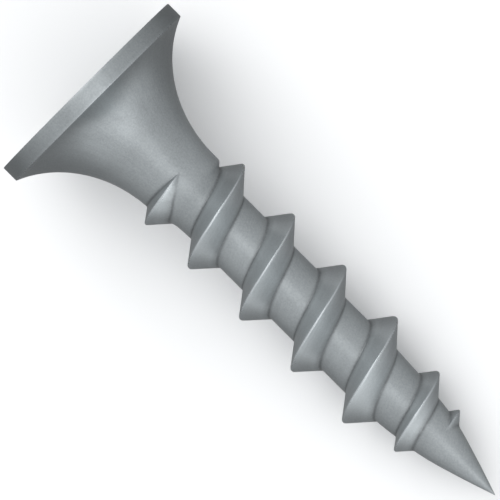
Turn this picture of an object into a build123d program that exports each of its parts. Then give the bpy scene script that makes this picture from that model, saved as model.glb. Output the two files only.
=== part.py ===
from build123d import *
import math
import os

# Bugle-head drywall screw with a coarse right-hand thread and a cross recess.
# Millimetres. The screw lies on its side on the plane z = 0: it touches that
# plane with the underside edge of its head and with one thread crest near the
# point, so its axis slopes down from the head to the point.

# ---------------------------------------------------------------- dimensions
length = 20.0  # top of the head to the tip
head_d = 8.03  # across the head
rim_h = 0.625  # height of the cylindrical rim round the head
rim_edge_r = 0.04  # rolled-over corner at both edges of the rim
bugle_end = 4.78  # where the bugle curve runs into the neck, from the top
bugle_axial = 4.417  # half-axis of the bugle's elliptical curve along the screw
neck_r = 1.446  # unthreaded neck, the diameter of the wire
neck_end = 5.09  # where the neck steps down to the rolled shank
step_end = 5.28
step_r = 1.228
root_from = 6.07  # the root is cylindrical from here
root_r = 1.166  # thread root
root_to = 13.80  # to here, then it draws in to the point

# point: distance from the top of the head and radius, on a smooth curve
point_curve = [
    (14.66, 1.128),
    (15.53, 1.075),
    (16.22, 0.990),
    (16.91, 0.905),
    (17.67, 0.735),
    (18.40, 0.520),
    (19.05, 0.318),
]

# thread: one right-hand start; "turn" counts whole turns from the crest that
# stands on the screw's side, next to the neck
pitch = 2.509
crest_r = 1.936  # crest radius, a major diameter of 3.87
crest_land = 0.06  # width of the flat along the crest
head_flank = 0.711  # axial run of the flank facing the head, for each mm of height
tip_flank = 0.872  # axial run of the flank facing the point, for each mm of height
sink = 0.15  # how deep the thread's base is set into the shank
full_from = 0.4  # full lead from this turn
full_to = 3.5  # to this turn
crest_at_full_to = 14.493  # distance of the crest from the top of the head there
lead_ease_in = 0.466  # the lead shortens towards the neck, mm for each turn squared
lead_ease_out = 0.537  # and towards the point
thread_from = -0.77  # where the thread grows out of the neck
rise_to = -0.46  # where it has its full height
taper_from = 14.56  # the crest draws in to the point from this distance
taper = 0.293  # by this much for each mm along the screw
fade_from = 5.0  # it runs out into the point between these turns
thread_to = 5.22
stations_per_turn = 24

# cross recess, size 2
recess_span = 4.06  # across opposite wings at the top of the head
recess_floor_span = 2.29  # across opposite wings at their foot
wing_angle = 26.5  # outer end of each wing, from the screw's axis
wing_top_w = 0.80  # width of a wing at the top of the head
wing_foot_w = 0.68  # and at its foot
core_top = 1.24  # across the flats of the square core, set at 45 degrees
core_foot = 1.12
floor_angle = 70.0  # conical floor of the recess, from the screw's axis

# how it lies
lie_tilt = 8.781  # slope of the axis, degrees, head end up
lie_roll = 11.0  # turned about its axis, degrees, its side downwards
head_x = -9.58  # centre of the head's top face
head_z = 4.0597

# ------------------------------------------------------------ reference planes
tilt = math.radians(lie_tilt)
roll = math.radians(lie_roll)
axis_dir = Vector(math.cos(tilt), 0, -math.sin(tilt))  # from the head to the tip
level_dir = Vector(0, 1, 0)
plumb_dir = Vector(math.sin(tilt), 0, math.cos(tilt))
# the screw's own side and up, from which the thread's turns are counted
side_dir = level_dir * math.cos(roll) - plumb_dir * math.sin(roll)
up_dir = level_dir * math.sin(roll) + plumb_dir * math.cos(roll)
head_centre = Vector(head_x, 0, head_z)

# local x to the side, local y up, local z down the screw from the head's top
screw_plane = Plane(origin=head_centre, x_dir=side_dir, z_dir=axis_dir)
# local x down the screw, local y the radius
profile_plane = Plane(origin=head_centre, x_dir=axis_dir, z_dir=-side_dir)
screw_axis = Axis(head_centre, axis_dir)


def shank_radius(distance):
    """Radius of the shank under the thread, for setting the thread's base."""
    curve = [(root_to, root_r)] + point_curve + [(length, 0.0)]
    if distance <= root_to:
        return root_r
    for (x0, r0), (x1, r1) in zip(curve, curve[1:]):
        if distance <= x1:
            return r0 + (r1 - r0) * (distance - x0) / (x1 - x0)
    return 0.0


def crest_distance(turn):
    """Distance of the thread's crest from the top of the head."""
    if turn > full_to:
        more = turn - full_to
        return crest_at_full_to + pitch * more - lead_ease_out * more**2
    less = max(full_from - turn, 0.0)
    return crest_at_full_to - pitch * (full_to - turn) + lead_ease_in * less**2


def crest_radius(turn):
    """Radius of the thread's crest, drawn in at both of its ends."""
    distance = crest_distance(turn)
    radius = crest_r - taper * max(distance - taper_from, 0.0)
    if turn < rise_to:
        grown = (turn - thread_from) / (rise_to - thread_from)
        low = neck_r - 0.03
        radius = low + (radius - low) * math.sin(math.pi / 2 * grown)
    if turn > fade_from:
        gone = (turn - fade_from) / (thread_to - fade_from)
        radius += (shank_radius(distance + 0.2) - 0.06 - radius) * gone
    return radius


# ------------------------------------------------------------------- recess
wing_depth = (recess_span - recess_floor_span) / 2 / math.tan(math.radians(wing_angle))
floor_depth = recess_floor_span / 2 / math.tan(math.radians(floor_angle))
recess_depth = wing_depth + floor_depth
over = 0.2  # the tool stands this far out of the head's top


def at_depth(top, foot, depth):
    """A width of the recess at a depth, on its straight taper."""
    return top + (foot - top) * depth / wing_depth


with BuildPart() as recess_cross:
    for depth in (-over, recess_depth + over):
        with BuildSketch(screw_plane.offset(depth)):
            Rectangle(2 * recess_span, at_depth(wing_top_w, wing_foot_w, depth))
    loft()
    for depth in (-over, recess_depth + over):
        with BuildSketch(screw_plane.offset(depth)):
            Rectangle(at_depth(wing_top_w, wing_foot_w, depth), 2 * recess_span)
    loft()
    for depth in (-over, recess_depth + over):
        with BuildSketch(screw_plane.offset(depth)):
            side = at_depth(core_top, core_foot, depth)
            Rectangle(side, side, rotation=45)
    loft()

with BuildPart() as recess:
    with BuildSketch(profile_plane):
        with BuildLine():
            Polyline(
                (-over, 0),
                (-over, at_depth(recess_span, recess_floor_span, -over) / 2),
                (wing_depth, recess_floor_span / 2),
                (recess_depth, 0),
                close=True,
            )
        make_face()
    revolve(axis=screw_axis)
    add(recess_cross.part, mode=Mode.INTERSECT)

# ------------------------------------------------------------------- thread
# Each turn is lofted through sections that stand on the screw's axis, then the
# turns meet end to end.
thread_turns = []
first = thread_from
while first < thread_to:
    last = first + 1.0 if first + 1.1 < thread_to else thread_to
    steps = math.ceil((last - first) * stations_per_turn)
    with BuildPart() as thread_turn:
        for step in range(steps + 1):
            turn = first + (last - first) * step / steps
            azimuth = 2 * math.pi * turn
            radial = side_dir * math.cos(azimuth) + up_dir * math.sin(azimuth)
            middle = crest_distance(turn)
            top = crest_radius(turn)
            base = min(shank_radius(middle), shank_radius(middle + 0.7)) - sink
            head_side = middle - crest_land / 2
            tip_side = middle + crest_land / 2
            station = Plane(
                origin=head_centre, x_dir=axis_dir, z_dir=axis_dir.cross(radial)
            )
            with BuildSketch(station):
                with BuildLine():
                    Polyline(
                        (head_side - head_flank * (top - base), base),
                        (head_side, top),
                        (tip_side, top),
                        (tip_side + tip_flank * (top - base), base),
                        close=True,
                    )
                make_face()
        loft()
    thread_turns.append(thread_turn.part)
    first = last

# -------------------------------------------------------------------- screw
head_r = head_d / 2
# the bugle is part of an ellipse that leaves the rim at this angle round it and
# runs into the neck along the screw
bugle_start = math.degrees(math.acos((bugle_end - rim_h) / bugle_axial))
bugle_radial = (head_r - neck_r) / (1 - math.sin(math.radians(bugle_start)))

with BuildPart() as drywall_screw:
    with BuildSketch(profile_plane) as section:
        with BuildLine():
            bugle = EllipticalCenterArc(
                (bugle_end, neck_r + bugle_radial),
                bugle_axial,
                bugle_radial,
                start_angle=180 + bugle_start,
                arc_size=90 - bugle_start,
            )
            top_line = Line((0, 0), (0, head_r))
            rim_line = Line((0, head_r), bugle @ 0)
            neck_line = Line(bugle @ 1, (neck_end, neck_r))
            step_line = Line((neck_end, neck_r), (step_end, step_r))
            run_line = Line((step_end, step_r), (root_from, root_r))
            root_line = Line((root_from, root_r), (root_to, root_r))
            point_line = Spline(
                [(root_to, root_r)] + point_curve,
                tangents=[(1, 0), (1, -0.325)],
            )
            nose = Line(point_line @ 1, (length, 0))
            centre_line = Line((length, 0), (0, 0))
        make_face()
        fillet(section.vertices().group_by(Axis.Y)[-1], rim_edge_r)
    revolve(axis=screw_axis)
    for thread_turn in thread_turns:
        add(thread_turn)
    add(recess.part, mode=Mode.SUBTRACT)

drywall_screw.part.label = "drywall_screw"

os.makedirs("parts", exist_ok=True)
export_step(drywall_screw.part, "parts/drywall_screw.step")
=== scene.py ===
import math

import bpy
import numpy as np
from mathutils import Matrix, Vector


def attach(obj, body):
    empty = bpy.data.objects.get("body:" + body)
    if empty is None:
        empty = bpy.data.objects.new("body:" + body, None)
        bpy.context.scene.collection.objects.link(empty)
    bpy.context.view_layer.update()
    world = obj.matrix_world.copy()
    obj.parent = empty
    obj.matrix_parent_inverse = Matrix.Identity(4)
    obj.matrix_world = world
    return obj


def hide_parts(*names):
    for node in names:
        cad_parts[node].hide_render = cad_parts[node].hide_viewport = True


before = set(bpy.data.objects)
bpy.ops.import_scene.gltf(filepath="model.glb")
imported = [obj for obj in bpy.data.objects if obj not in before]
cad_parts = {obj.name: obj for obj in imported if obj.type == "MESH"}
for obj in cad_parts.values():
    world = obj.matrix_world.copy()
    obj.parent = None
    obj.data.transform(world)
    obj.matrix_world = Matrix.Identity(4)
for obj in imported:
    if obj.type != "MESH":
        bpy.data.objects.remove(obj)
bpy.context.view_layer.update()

# A bugle-head drywall screw, lying on its side. Sizes in this block are
# millimetres, in the screw's own terms: u is the distance from the top of the
# head, r the radius and a the azimuth round the axis.
MM = 0.001
TILT = math.radians(8.781)
ROLL = math.radians(11.0)
HEAD = np.array([-9.58, 0.0, 4.0597])
AXIS = np.array([math.cos(TILT), 0.0, -math.sin(TILT)])
LEVEL = np.array([0.0, 1.0, 0.0])
PLUMB = np.array([math.sin(TILT), 0.0, math.cos(TILT)])
SIDE = LEVEL * math.cos(ROLL) - PLUMB * math.sin(ROLL)
UP = LEVEL * math.sin(ROLL) + PLUMB * math.cos(ROLL)

LENGTH = 20.0
HEAD_R = 4.015
RIM_H = 0.625
EDGE_R = 0.04
BUGLE_END = 4.78
BUGLE_AXIAL = 4.417
NECK_R = 1.446
BUGLE_START = math.acos((BUGLE_END - RIM_H) / BUGLE_AXIAL)
BUGLE_RADIAL = (HEAD_R - NECK_R) / (1 - math.sin(BUGLE_START))
STEP = [(5.09, 1.446), (5.28, 1.228), (6.07, 1.166)]
ROOT_R = 1.166
ROOT_TO = 13.80
POINT = [
    (14.66, 1.128),
    (15.53, 1.075),
    (16.22, 0.990),
    (16.91, 0.905),
    (17.67, 0.735),
    (18.40, 0.520),
    (19.05, 0.318),
]

PITCH = 2.509
CREST_R = 1.936
LAND = 0.04
HEAD_FLANK = 0.711
TIP_FLANK = 0.872
FULL_FROM = 0.4
FULL_TO = 3.5
CREST_AT_FULL_TO = 14.493
EASE_IN = 0.466
EASE_OUT = 0.537
THREAD_FROM = -0.77
RISE_TO = -0.46
TAPER_FROM = 14.56
TAPER = 0.293
FADE_FROM = 5.0
THREAD_TO = 5.22
ROOT_BLEND = 0.04
CREST_BLEND = 0.010

COLUMNS = 240


# ------------------------------------------------------------ profile of the core
def hermite(points, slopes, x):
    for (x0, y0), (x1, y1), m0, m1 in zip(points, points[1:], slopes, slopes[1:]):
        if x <= x1:
            h = x1 - x0
            s = (x - x0) / h
            return (
                y0 * (1 + 2 * s) * (1 - s) ** 2
                + m0 * h * s * (1 - s) ** 2
                + y1 * s * s * (3 - 2 * s)
                + m1 * h * s * s * (s - 1)
            )
    return points[-1][1]


point_knots = [(ROOT_TO, ROOT_R)] + POINT
point_slopes = [0.0]
for (xa, ya), (xb, yb), (xc, yc) in zip(point_knots, point_knots[1:], point_knots[2:]):
    sa, sb = (yb - ya) / (xb - xa), (yc - yb) / (xc - xb)
    wa, wb = xb - xa, xc - xb
    point_slopes.append((sa * wb + sb * wa) / (wa + wb))
point_slopes.append(-0.325)


def sharp_core(u):
    if u < BUGLE_END:
        c = min((BUGLE_END - u) / BUGLE_AXIAL, 0.95)
        return NECK_R + BUGLE_RADIAL * (1 - math.sqrt(1 - c * c))
    if u < STEP[0][0]:
        return NECK_R
    for (x0, y0), (x1, y1) in zip(STEP, STEP[1:]):
        if u <= x1:
            return y0 + (y1 - y0) * (u - x0) / (x1 - x0)
    if u <= ROOT_TO:
        return ROOT_R
    if u <= POINT[-1][0]:
        return hermite(point_knots, point_slopes, u)
    return max(POINT[-1][1] * (LENGTH - u) / (LENGTH - POINT[-1][0]), 0.0)


def smoothed(radii, sigma):
    reach = int(4 * sigma / 0.0025)
    kernel = np.exp(-0.5 * (np.arange(-reach, reach + 1) * 0.0025 / sigma) ** 2)
    kernel /= kernel.sum()
    result = np.convolve(radii, kernel, mode="same")
    result[:200], result[-200:] = radii[:200], radii[-200:]
    return result


table_u = np.arange(3.4, LENGTH + 0.1, 0.0025)
table_r = np.array([sharp_core(u) for u in table_u])
ramp_r = table_r.copy()
for i, u in enumerate(table_u):
    if 4.80 < u < 6.30:
        f = min((u - 4.80) / 1.00, 1.0)
        ramp = NECK_R - (NECK_R - 1.195) * f * f * (3 - 2 * f)
        ramp_r[i] = min(ramp, 1.195) - 0.029 * max(u - 5.80, 0) / 0.50 if f == 1.0 else ramp
table_r = smoothed(table_r, 0.04)
ramp_r = smoothed(ramp_r, 0.06)


def core(u, a):
    """Radius under the thread. Towards its first turn the neck runs down a ramp,
    which closes up to a shoulder on the screw's side."""
    a = math.degrees(a) % 360
    if a < 180:
        f = min(max((a - 3) / 60, 0.0), 1.0)
    else:
        f = min(max((360 - a) / 120, 0.0), 1.0)
    f = f * f * (3 - 2 * f)
    return np.interp(u, table_u, table_r) * (1 - f) + np.interp(u, table_u, ramp_r) * f


# ------------------------------------------------------------------------ thread
def crest_distance(t):
    if t > FULL_TO:
        more = t - FULL_TO
        return CREST_AT_FULL_TO + PITCH * more - EASE_OUT * more**2
    less = max(FULL_FROM - t, 0.0)
    return CREST_AT_FULL_TO - PITCH * (FULL_TO - t) + EASE_IN * less**2


def crest_radius(t):
    if t < THREAD_FROM:
        return NECK_R - 0.03 - 2.6 * (THREAD_FROM - t)
    d = crest_distance(t)
    radius = CREST_R - TAPER * max(d - TAPER_FROM, 0.0)
    if t < RISE_TO:
        grown = (t - THREAD_FROM) / (RISE_TO - THREAD_FROM)
        low = NECK_R - 0.03
        return low + (radius - low) * math.sin(math.pi / 2 * grown**0.8)
    if t > FADE_FROM:
        gone = (t - FADE_FROM) / (THREAD_TO - FADE_FROM)
        radius += (sharp_core(d + 0.2) - 0.06 - radius) * gone
    return radius


def tip_flank(t):
    """Run of the flank that faces the point, wider where the thread begins."""
    f = min(max((-0.50 - t) / 0.20, 0.0), 1.0)
    return TIP_FLANK * (1 + 0.5 * f * f * (3 - 2 * f))


def smooth_max(a, b, k):
    h = np.maximum(k - np.abs(a - b), 0.0) / k
    return np.maximum(a, b) + h * h * k / 4


def smooth_min(a, b, k):
    return -smooth_max(-a, -b, k)


T_LOW, T_HIGH = THREAD_FROM - 0.03, THREAD_TO + 0.02


def teeth_at(a):
    """The turns of the thread that stand at this azimuth, from head to point."""
    found = []
    for k in range(-1, 7):
        t = k + a / (2 * math.pi)
        if T_LOW <= t <= T_HIGH:
            found.append((k, t, crest_distance(t), crest_radius(t)))
    return found


def radius_at(u, a, teeth):
    body = core(u, a)
    for _, t, middle, top in teeth:
        up = top + (u - (middle - LAND / 2)) / HEAD_FLANK
        down = top - (u - (middle + LAND / 2)) / tip_flank(t)
        tooth = smooth_min(smooth_min(up, down, CREST_BLEND), top, CREST_BLEND)
        body = smooth_max(body, tooth, ROOT_BLEND)
    return body


def foot(edge, a, top, way, run):
    """Where a flank that leaves the crest's edge meets the shank."""
    if top <= core(edge, a):
        return edge
    u = edge
    for _ in range(12):
        u = edge + way * run * (top - core(u, a))
    return u


# rings of the plain parts of the body, as (u, r) from the head's rim to the tip
def arc_corner(p, q, s, radius, count):
    """The points of a fillet at q between the lines from p and to s."""
    p, q, s = map(np.array, (p, q, s))
    a, b = (p - q) / np.linalg.norm(p - q), (s - q) / np.linalg.norm(s - q)
    half = math.acos(float(a @ b)) / 2
    reach = radius / math.tan(half)
    centre = q + (a + b) / np.linalg.norm(a + b) * radius / math.sin(half)
    start, end = q + a * reach - centre, q + b * reach - centre
    angle = math.acos(float(start @ end) / radius**2)
    made = []
    for i in range(count + 1):
        f = i / count
        made.append(
            centre
            + (math.sin((1 - f) * angle) * start + math.sin(f * angle) * end)
            / math.sin(angle)
        )
    return [tuple(m) for m in made]


def bugle_point(angle):
    return (
        BUGLE_END - BUGLE_AXIAL * math.cos(angle),
        NECK_R + BUGLE_RADIAL * (1 - math.sin(angle)),
    )


rim_top = arc_corner((0, 3.5), (0, HEAD_R), (0.3, HEAD_R), EDGE_R, 5)
rim_low = arc_corner(
    (0.3, HEAD_R), (RIM_H, HEAD_R), bugle_point(BUGLE_START + 0.02), EDGE_R, 5
)
rings = list(rim_top)
rings += [(u, HEAD_R) for u in np.linspace(rim_top[-1][0], rim_low[0][0], 8)[1:-1]]
rings += rim_low
low_angle = BUGLE_START + 0.016
rings += [bugle_point(x) for x in np.linspace(low_angle, math.pi / 2 - 0.16, 44)]
fixed = len(rings)
last_u = rings[-1][0]
rings += [
    (u, None)
    for u in np.concatenate(
        [
            np.arange(last_u + 0.05, 4.98, 0.05),
            np.arange(5.0, 6.2, 0.025),
            np.arange(6.2, 15.0, 0.15),
            np.arange(15.0, 18.0, 0.05),
            np.arange(18.0, 19.85, 0.10),
            [19.87, 19.91, 19.945, 19.97],
        ]
    )
]

FLANK_STEPS = 5
GROOVE_STEPS = 10


def column(a):
    """The labelled points of the surface along one azimuth."""
    teeth = teeth_at(a)
    labels, us = [], []
    spans, feet = [], []
    for k, t, middle, top in teeth:
        low, high = middle - LAND / 2, middle + LAND / 2
        start = foot(low, a, top, -1, HEAD_FLANK)
        end = foot(high, a, top, 1, tip_flank(t))
        height = max(top - float(core(middle, a)), 0.0)
        w = 0.055 * min(max(height / 0.3, 0.12), 1.0)
        c = 0.014 * min(max(height / 0.15, 0.2), 1.0)
        here = [start - w * f for f in (2.2, 1.2, 0.55)]
        here += [start + w * f for f in (0.0, 0.5, 1.1)]
        inner_low = low - c * 2
        here += list(np.linspace(here[-1], inner_low, FLANK_STEPS + 1)[1:])
        here += [low - c, low, low + c * 0.8]
        here += [middle]
        here += [high - c * 0.8, high, high + c]
        outer_high = high + c * 2
        end_points = [end - w * f for f in (1.1, 0.5, 0.0)]
        here += list(np.linspace(outer_high, end_points[0], FLANK_STEPS + 1)[:-1])
        here += end_points
        here += [end + w * f for f in (0.55, 1.2, 2.2)]
        here = np.array(here)
        # where the tooth is nearly gone its points close up but keep their order
        for i in range(1, len(here)):
            here[i] = max(here[i], here[i - 1] + 0.0012)
        spans.append((k, here))
        full = min(height / 0.3, 1.0)
        feet += [(start, full), (end, full)]
    if not spans:
        for i in range(fixed, len(rings)):
            labels.append(("r", i))
            us.append(rings[i][0])
    else:
        first, last = spans[0][1][0], spans[-1][1][-1]
        for i in range(fixed, len(rings)):
            if rings[i][0] < first - 0.03:
                labels.append(("r", i))
                us.append(rings[i][0])
        for n, (k, here) in enumerate(spans):
            for m, u in enumerate(here):
                labels.append(("t", k, m))
                us.append(u)
            if n + 1 < len(spans):
                gap = np.linspace(here[-1], spans[n + 1][1][0], GROOVE_STEPS + 1)
                for m, u in enumerate(gap[1:-1]):
                    labels.append(("g", k, m))
                    us.append(u)
        for i in range(fixed, len(rings)):
            if rings[i][0] > last + 0.03:
                labels.append(("r", i))
                us.append(rings[i][0])
    us = np.array(us)
    rs = radius_at(us, a, teeth)
    return labels, us, rs, teeth, feet


# --------------------------------------------------------------------- the mesh
verts, faces = [], []
marks = {
    name: []
    for name in ("axial", "turn", "across", "height", "edge", "recess", "corner")
}


def add_vertex(
    u, r, a, turn=0.0, across=9.0, height=0.0, edge=0.0, recess=0.0, corner=0.0
):
    verts.append(HEAD + AXIS * u + SIDE * (r * math.cos(a)) + UP * (r * math.sin(a)))
    for name, value in zip(
        marks, (u, turn, across, height, edge, recess, corner)
    ):
        marks[name].append(value)
    return len(verts) - 1


grid = []
for j in range(COLUMNS):
    a = 2 * math.pi * j / COLUMNS
    labels, us, rs, teeth, feet = column(a)
    here = []
    for i, (u, r) in enumerate(rings[:fixed]):
        edge = max(
            math.exp(-((u / 0.05) ** 2)), math.exp(-(((u - RIM_H) / 0.05) ** 2))
        )
        here.append((("r", i), add_vertex(u, r, a, edge=edge), u))
    for label, u, r in zip(labels, us, rs):
        turn, across, height, edge = 0.0, 9.0, 0.0, 0.0
        for k, t, middle, top in teeth:
            if abs(u - middle) < abs(across):
                turn, across = t, u - middle
                height = float(r - core(u, a))
                full = min(max((top - float(core(middle, a))) / 0.2, 0.0), 1.0)
                edge = full * math.exp(-(((top - r) / 0.05) ** 2))
        # corner is the closeness to the feet of the flanks; the colour darkens there as painted shade
        corner = sum(full * math.exp(-(((u - f) / 0.055) ** 2)) for f, full in feet)
        here.append(
            (label, add_vertex(u, r, a, turn, across, height, edge, 0.0, corner), u)
        )
    grid.append(here)


def stitch(left, right):
    """Faces between two neighbouring columns. Points with one label are joined;
    between them the spare points of either side are zipped into triangles."""
    place_right = {label: n for n, (label, _, _) in enumerate(right)}
    pairs, low = [], -1
    for n, (label, _, _) in enumerate(left):
        m = place_right.get(label)
        if m is not None and m > low:
            pairs.append((n, m))
            low = m
    for (n0, m0), (n1, m1) in zip(pairs, pairs[1:]):
        if n1 == n0 + 1 and m1 == m0 + 1:
            faces.append((left[n0][1], left[n1][1], right[m1][1], right[m0][1]))
            continue
        n, m = n0, m0
        while n < n1 or m < m1:
            if m == m1 or (n < n1 and left[n + 1][2] <= right[m + 1][2]):
                faces.append((left[n][1], left[n + 1][1], right[m][1]))
                n += 1
            else:
                faces.append((left[n][1], right[m + 1][1], right[m][1]))
                m += 1


for j in range(COLUMNS - 1):
    stitch(grid[j], grid[j + 1])
# the last column meets the first one turn on
wrapped = [
    ((label[0], label[1] - 1, label[2]) if label[0] != "r" else label, v, u)
    for label, v, u in grid[0]
]
stitch(grid[-1], wrapped)

tip = add_vertex(LENGTH - 0.012, 0.0, 0.0)
for j in range(COLUMNS):
    faces.append((grid[j][-1][1], tip, grid[(j + 1) % COLUMNS][-1][1]))

# ------------------------------------------------------------- recess and head top
SPAN, FLOOR_SPAN = 4.06, 2.29
WING_TOP, WING_FOOT = 0.80, 0.68
CORE_TOP, CORE_FOOT = 1.24, 1.12
WING_DEPTH = (SPAN - FLOOR_SPAN) / 2 / math.tan(math.radians(26.5))
FLOOR_DEPTH = FLOOR_SPAN / 2 / math.tan(math.radians(70.0))
LIP = 0.035


def octant(length, width, across):
    """Half of one wing's outline, from its end's middle to the core's corner."""
    corner = 0.05
    turn_at = math.asin(min((width - corner) / length, 1.0))
    points = [
        (length * math.cos(x), length * math.sin(x))
        for x in np.linspace(0, turn_at * 0.97, 4)
    ]
    x_side = math.sqrt(length * length - width * width)
    cx, cy = x_side - corner * 0.93, width - corner
    points += [
        (cx + corner * math.cos(x), cy + corner * math.sin(x))
        for x in np.radians([22, 45, 68, 90])
    ]
    meet = across * math.sqrt(2)
    x_in = meet - width
    points += [(x, width) for x in np.linspace(cx, x_in + 0.03, 9)[1:]]
    points += [(x_in - 0.01, width + 0.01)]
    middle = meet / 2
    points += [(middle + 0.001, middle - 0.001)]
    return points


def outline(length, width, across):
    one = octant(length, width, across)
    full = []
    for q in range(4):
        turned = math.pi / 2 * q
        wing = one + [(y, x) for x, y in one[::-1]]
        # a wing's half towards the next wing, then the next wing's half
        for x, y in wing[:-1]:
            full.append(
                (
                    x * math.cos(turned) - y * math.sin(turned),
                    x * math.sin(turned) + y * math.cos(turned),
                )
            )
    return np.array(full)


def at_depth(d):
    f = d / WING_DEPTH
    return (
        (SPAN + (FLOOR_SPAN - SPAN) * f) / 2,
        (WING_TOP + (WING_FOOT - WING_TOP) * f) / 2,
        (CORE_TOP + (CORE_FOOT - CORE_TOP) * f) / 2,
    )


def floor_at(x, y):
    return WING_DEPTH + max(FLOOR_SPAN / 2 - math.hypot(x, y), 0.0) / math.tan(
        math.radians(70.0)
    )


def head_vertex(x, y, depth, edge=0.0, recess=0.0):
    return add_vertex(depth, math.hypot(x, y), math.atan2(y, x), edge=edge, recess=recess)


loops = []
# a narrow flat margin, then the rolled lip of the recess
margin = outline(*[v + LIP + 0.04 for v in at_depth(0.0)])
loops.append([head_vertex(px, py, 0.0) for px, py in margin])
for x in np.radians([0, 22.5, 45, 67.5, 90]):
    off, depth = LIP * (1 - math.sin(x)), LIP * (1 - math.cos(x))
    length, width, across = at_depth(depth)
    points = outline(length + off, width + off, across + off)
    loops.append([head_vertex(px, py, depth, 1.0, 0.0) for px, py in points])
count = len(loops[0])
# walls, down to the conical floor
deepest = []
for i in range(count):
    d = WING_DEPTH
    for _ in range(8):
        px, py = outline(*at_depth(d))[i]
        d = floor_at(px, py)
    deepest.append(d)
for f in (0.08, 0.2, 0.36, 0.54, 0.72, 0.88, 0.965, 1.0):
    loop = []
    cache = {}
    for i in range(count):
        d = LIP + (deepest[i] - LIP) * f
        key = round(d, 6)
        if key not in cache:
            cache[key] = outline(*at_depth(d))
        px, py = cache[key][i]
        # the recess mark grows with depth; the colour darkens with it as painted shade
        loop.append(head_vertex(px, py, d, 0.0, min(d / 0.6, 1.0)))
    loops.append(loop)
foot_loop = [outline(*at_depth(deepest[i]))[i] for i in range(count)]
for s in (0.97, 0.88, 0.74, 0.58, 0.42, 0.26, 0.12):
    loops.append(
        [
            head_vertex(px * s, py * s, floor_at(px * s, py * s), 0.0, 1.0)
            for px, py in foot_loop
        ]
    )
for upper, lower in zip(loops, loops[1:]):
    for i in range(count):
        n = (i + 1) % count
        faces.append((upper[i], upper[n], lower[n], lower[i]))
pit = head_vertex(0, 0, floor_at(0, 0) - 0.01, 0.0, 1.0)
for i in range(count):
    faces.append((loops[-1][i], loops[-1][(i + 1) % count], pit))

# flat top of the head, between the lip and the rim
outer = [grid[j][0][1] for j in range(COLUMNS)]
outer_r = rings[0][1]
ring_sets = [outer]
for radius in (3.94, 3.6, 3.1, 2.55):
    ring_sets.append(
        [
            add_vertex(0.0, radius, 2 * math.pi * j / COLUMNS)
            for j in range(COLUMNS)
        ]
    )
for big, small in zip(ring_sets, ring_sets[1:]):
    for j in range(COLUMNS):
        n = (j + 1) % COLUMNS
        faces.append((big[j], big[n], small[n], small[j]))
inner_ring = ring_sets[-1]
lip = loops[0]


lip_angles = np.unwrap(np.arctan2(margin[:, 1], margin[:, 0]))
i = j = 0
while i < count or j < COLUMNS:
    next_lip = lip_angles[i + 1] if i + 1 < count else lip_angles[0] + 2 * math.pi
    next_ring = 2 * math.pi * (j + 1) / COLUMNS
    if j == COLUMNS or (i < count and next_lip <= next_ring):
        faces.append((inner_ring[j % COLUMNS], lip[(i + 1) % count], lip[i % count]))
        i += 1
    else:
        faces.append(
            (inner_ring[j % COLUMNS], inner_ring[(j + 1) % COLUMNS], lip[i % count])
        )
        j += 1

mesh = bpy.data.meshes.new("screw_body")
mesh.from_pydata([tuple(v * MM) for v in verts], [], faces)
mesh.validate()
for name, values in marks.items():
    layer = mesh.attributes.new(name, "FLOAT", "POINT")
    layer.data.foreach_set("value", np.array(values, np.float32))
mesh.polygons.foreach_set("use_smooth", [True] * len(mesh.polygons))
mesh.update()

import bmesh

bm = bmesh.new()
bm.from_mesh(mesh)
bmesh.ops.recalc_face_normals(bm, faces=bm.faces)
open_edges = sum(not e.is_manifold for e in bm.edges)
volume = bm.calc_volume(signed=True)
bm.to_mesh(mesh)
bm.free()
print(
    "screw mesh", len(mesh.vertices), "vertices", len(mesh.polygons), "faces",
    "open edges", open_edges, "volume mm3", round(volume * 1e9, 2),
)

screw = bpy.data.objects.new("screw_body", mesh)
bpy.context.scene.collection.objects.link(screw)
weight = screw.modifiers.new("normals", "WEIGHTED_NORMAL")
weight.keep_sharp = False
weight.weight = 80

# ---------------------------------------------------------------------- material
steel = bpy.data.materials.new("phosphated_steel")
steel.use_nodes = True
nt = steel.node_tree
shader = nt.nodes["Principled BSDF"]


def node(kind, **values):
    n = nt.nodes.new(kind)
    for key, value in values.items():
        if hasattr(n, key):
            setattr(n, key, value)
        else:
            n.inputs[key.replace("_", " ")].default_value = value
    return n


def link(a, b):
    nt.links.new(a, b)


def attribute(name):
    n = node("ShaderNodeAttribute")
    n.attribute_name = name
    return n.outputs["Fac"]


def maths(operation, a, b=None, clamp=False):
    n = nt.nodes.new("ShaderNodeMath")
    n.operation = operation
    n.use_clamp = clamp
    for socket, value in zip(n.inputs, (a, b)):
        if value is None:
            continue
        if isinstance(value, (int, float)):
            socket.default_value = value
        else:
            link(value, socket)
    return n.outputs[0]


def spread(value, low, high, to_low, to_high):
    n = nt.nodes.new("ShaderNodeMapRange")
    n.inputs["From Min"].default_value = low
    n.inputs["From Max"].default_value = high
    n.inputs["To Min"].default_value = to_low
    n.inputs["To Max"].default_value = to_high
    link(value, n.inputs["Value"])
    return n.outputs["Result"]


def noise(vector, scale, detail=3.0, rough=0.55):
    n = nt.nodes.new("ShaderNodeTexNoise")
    n.inputs["Scale"].default_value = scale
    n.inputs["Detail"].default_value = detail
    n.inputs["Roughness"].default_value = rough
    link(vector, n.inputs["Vector"])
    return n.outputs["Fac"]


def vector(x, y, z):
    n = nt.nodes.new("ShaderNodeCombineXYZ")
    for socket, value in zip(n.inputs, (x, y, z)):
        if isinstance(value, (int, float)):
            socket.default_value = value
        else:
            link(value, socket)
    return n.outputs[0]


place = node("ShaderNodeTexCoord").outputs["Object"]
axial, turn = attribute("axial"), attribute("turn")
across, height = attribute("across"), attribute("height")
edge, recess = attribute("edge"), attribute("recess")

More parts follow.
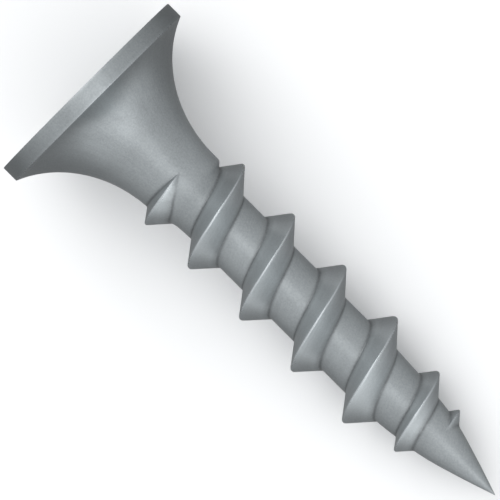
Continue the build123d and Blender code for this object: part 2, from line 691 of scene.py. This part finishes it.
# the screw's own cross directions, for marks that run round it or along it
cross = nt.nodes.new("ShaderNodeVectorMath")
cross.operation = "DOT_PRODUCT"
cross.inputs[1].default_value = tuple(SIDE)
off = nt.nodes.new("ShaderNodeVectorMath")
off.operation = "SUBTRACT"
off.inputs[1].default_value = tuple(HEAD * MM)
link(place, off.inputs[0])
link(off.outputs[0], cross.inputs[0])
rise = nt.nodes.new("ShaderNodeVectorMath")
rise.operation = "DOT_PRODUCT"
rise.inputs[1].default_value = tuple(UP)
link(off.outputs[0], rise.inputs[0])
x_mm = maths("MULTIPLY", cross.outputs["Value"], 1000.0)
y_mm = maths("MULTIPLY", rise.outputs["Value"], 1000.0)
r_mm = maths("SQRT", maths("ADD", maths("POWER", x_mm, 2.0), maths("POWER", y_mm, 2.0)))
x_round = maths("DIVIDE", x_mm, maths("MAXIMUM", r_mm, 0.05))
y_round = maths("DIVIDE", y_mm, maths("MAXIMUM", r_mm, 0.05))

cloud = noise(place, 900.0, 3.0)  # patches of about a millimetre
grain = noise(place, 16000.0, 2.0, 0.7)  # crystals of the phosphate coat
speck = nt.nodes.new("ShaderNodeTexVoronoi")
speck.inputs["Scale"].default_value = 11000.0
link(place, speck.inputs["Vector"])
# marks of the forming tools: along the thread where it is rolled, and down the
# screw on the head
spin = maths("MULTIPLY", axial, 2 * math.pi / PITCH)
spin_x, spin_y = maths("COSINE", spin), maths("SINE", spin)
lead_x = maths("ADD", maths("MULTIPLY", spin_x, x_round), maths("MULTIPLY", spin_y, y_round))
lead_y = maths("SUBTRACT", maths("MULTIPLY", spin_y, x_round), maths("MULTIPLY", spin_x, y_round))
rolled = noise(
    vector(maths("MULTIPLY", lead_x, 5.0), maths("MULTIPLY", lead_y, 5.0), maths("MULTIPLY", axial, 0.35)),
    2.2,
    3.0,
)
drawn = noise(
    vector(maths("MULTIPLY", x_round, 9.0), maths("MULTIPLY", y_round, 9.0), maths("MULTIPLY", axial, 0.15)),
    3.0,
    3.0,
)
on_thread = spread(axial, 4.2, 5.6, 0.0, 1.0)
marks_mix = nt.nodes.new("ShaderNodeMix")
marks_mix.data_type = "FLOAT"
link(on_thread, marks_mix.inputs["Factor"])
link(drawn, marks_mix.inputs["A"])
link(rolled, marks_mix.inputs["B"])
# the flat top has the rings that the punch leaves
ringed = noise(
    vector(maths("MULTIPLY", r_mm, 4.5), maths("MULTIPLY", x_round, 0.8), maths("MULTIPLY", y_round, 0.8)),
    2.0,
    4.0,
    0.65,
)
on_top = spread(axial, 0.0, 0.03, 1.0, 0.0)
top_mix = nt.nodes.new("ShaderNodeMix")
top_mix.data_type = "FLOAT"
link(on_top, top_mix.inputs["Factor"])
link(marks_mix.outputs["Result"], top_mix.inputs["A"])
link(ringed, top_mix.inputs["B"])
lines = top_mix.outputs["Result"]

# the coat lies thicker on the neck and in the roots, so it is less metallic
# there, and is rubbed thinner towards the crests
metal = maths("ADD", spread(axial, 1.2, 4.0, 0.84, 0.50), spread(height, 0.0, 0.3, 0.0, 0.26))
link(metal, shader.inputs["Metallic"])

tone = maths("ADD", spread(cloud, 0.3, 0.7, -0.06, 0.06), 1.0)
tone = maths("ADD", tone, spread(grain, 0.3, 0.7, -0.08, 0.08))
tone = maths("ADD", tone, spread(speck.outputs["Distance"], 0.0, 0.9, 0.04, -0.04))
tone = maths("ADD", tone, spread(lines, 0.3, 0.7, -0.03, 0.03))
tone = maths("ADD", tone, maths("MULTIPLY", on_top, spread(ringed, 0.3, 0.7, -0.05, 0.03)))
# crests rubbed a little brighter; flanks lighter and roots darker by their height is painted light and
# painted shade, and the recess and the flank feet darker is painted shade
tone = maths("ADD", tone, maths("MULTIPLY", edge, 0.16))
# painted light and shade: the flanks and crests are lightened and the roots darkened by their height above
# the core
tone = maths("ADD", tone, spread(height, 0.0, 0.22, 0.02, 0.38))
# painted shade: the recess is darkened in the colour, more where it is deeper
tone = maths("SUBTRACT", tone, maths("MULTIPLY", recess, 0.22))
# painted shade: a dark line where the flanks meet the root
tone = maths("SUBTRACT", tone, maths("MULTIPLY", attribute("corner"), 0.5))
base = nt.nodes.new("ShaderNodeVectorMath")
base.operation = "SCALE"
base.inputs[0].default_value = (0.290, 0.310, 0.318)
link(tone, base.inputs["Scale"])
link(base.outputs[0], shader.inputs["Base Color"])

gloss = maths("ADD", spread(cloud, 0.3, 0.7, 0.37, 0.30), spread(grain, 0.3, 0.7, 0.03, -0.03))
gloss = maths("SUBTRACT", gloss, maths("MULTIPLY", edge, 0.05))
gloss = maths("ADD", gloss, maths("MULTIPLY", recess, 0.10))
link(gloss, shader.inputs["Roughness"])

relief = maths("ADD", maths("MULTIPLY", grain, 0.5), maths("MULTIPLY", lines, 0.8))
relief = maths("ADD", relief, maths("MULTIPLY", maths("MULTIPLY", ringed, on_top), 1.2))
relief = maths("ADD", relief, maths("MULTIPLY", speck.outputs["Distance"], -0.35))
bump = nt.nodes.new("ShaderNodeBump")
bump.inputs["Strength"].default_value = 0.5
bump.inputs["Distance"].default_value = 0.000012
link(relief, bump.inputs["Height"])
link(bump.outputs["Normal"], shader.inputs["Normal"])
mesh.materials.append(steel)

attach(screw, "root")
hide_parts("drywall_screw")

# ------------------------------------------------------------------------- stage
floor_mesh = bpy.data.meshes.new("floor")
S = 0.6
floor_mesh.from_pydata(
    [(-S, -S, 0), (S, -S, 0), (S, S, 0), (-S, S, 0)], [], [(0, 1, 2, 3)]
)
floor = bpy.data.objects.new("floor", floor_mesh)
bpy.context.scene.collection.objects.link(floor)
paper = bpy.data.materials.new("floor_paper")
paper.use_nodes = True
p = paper.node_tree.nodes["Principled BSDF"]
p.inputs["Base Color"].default_value = (0.90, 0.90, 0.90, 1)
p.inputs["Roughness"].default_value = 0.8
floor_mesh.materials.append(paper)
floor.visible_glossy = False


def area(name, toward, away, size_u, size_v, radiance, colour=(1, 1, 1)):
    """A soft panel in the direction of toward, given along the screw, across it
    and away from it. The panel's first side runs with the screw."""
    light = bpy.data.lights.new(name, "AREA")
    light.shape = "RECTANGLE"
    light.size = size_u
    light.size_y = size_v
    light.energy = radiance * math.pi * size_u * size_v
    light.color = colour
    o = bpy.data.objects.new(name, light)
    d = AXIS * toward[0] + SIDE * toward[1] + UP * toward[2]
    d = d / np.linalg.norm(d)
    along = AXIS - d * float(AXIS @ d)
    along /= np.linalg.norm(along)
    basis = Matrix([along, np.cross(d, along), d]).transposed().to_4x4()
    basis.translation = Vector(d * away)
    o.matrix_world = basis
    o.visible_camera = False
    bpy.context.scene.collection.objects.link(o)
    return o


# an arch of panels over the screw, from beyond its head to beyond its point
ARCH = (-62, -37, -12, 13, 37, 60, 78)
GLOW = (2.4, 1.2, 0.64, 0.60, 0.56, 0.46, 0.75)
for n, (degrees, radiance) in enumerate(zip(ARCH, GLOW)):
    lean = math.radians(degrees)
    area(f"arch_{n}", (math.sin(lean), 0, math.cos(lean)), 0.36, 0.157, 0.20, radiance)

# a soft dome: brightest over the screw and at its ends, darker low at its sides
world = bpy.data.worlds.new("studio")
bpy.context.scene.world = world
world.use_nodes = True
nt = world.node_tree
background = nt.nodes["Background"]
sky = node("ShaderNodeTexCoord").outputs["Generated"]


def along(direction):
    n = nt.nodes.new("ShaderNodeVectorMath")
    n.operation = "DOT_PRODUCT"
    n.inputs[1].default_value = tuple(direction)
    link(sky, n.inputs[0])
    return n.outputs["Value"]


across_it = spread(along(UP), -0.55, 1.0, 0.19, 1.10)
at_ends = maths(
    "MULTIPLY",
    maths("POWER", maths("ABSOLUTE", along(AXIS)), 4.0),
    spread(along(UP), -0.8, -0.2, 0.0, 1.0),
)
glow = maths(
    "ADD",
    maths("MULTIPLY", across_it, maths("SUBTRACT", 1.0, at_ends)),
    maths("MULTIPLY", at_ends, spread(along(AXIS), -1.0, 1.0, 0.95, 1.35)),
)
# a little brighter from one side
glow = maths("MULTIPLY", glow, spread(along(SIDE), -1.0, 1.0, 1.14, 0.90))
link(glow, background.inputs["Strength"])
background.inputs["Color"].default_value = (0.97, 0.985, 1, 1)

bpy.context.scene.view_settings.view_transform = "Standard"

# ------------------------------------------------------------------------ camera
PX = 0.034507  # millimetres for each pixel of the 500-pixel frame
LENS = 1500.0
aim = HEAD + AXIS * (232.35 * PX)
distance = 500 * PX * LENS / 36.0
cam = bpy.data.cameras.new("camera")
cam.lens = LENS
cam.sensor_width = 36.0
cam.clip_start, cam.clip_end = 0.01, 5.0
camera = bpy.data.objects.new("camera", cam)
right = (AXIS + SIDE) / math.sqrt(2)
up = (SIDE - AXIS) / math.sqrt(2)
basis = Matrix([right, up, UP]).transposed().to_4x4()
basis.translation = Vector((aim + UP * distance) * MM)
camera.matrix_world = basis
bpy.context.scene.collection.objects.link(camera)
bpy.context.scene.camera = camera
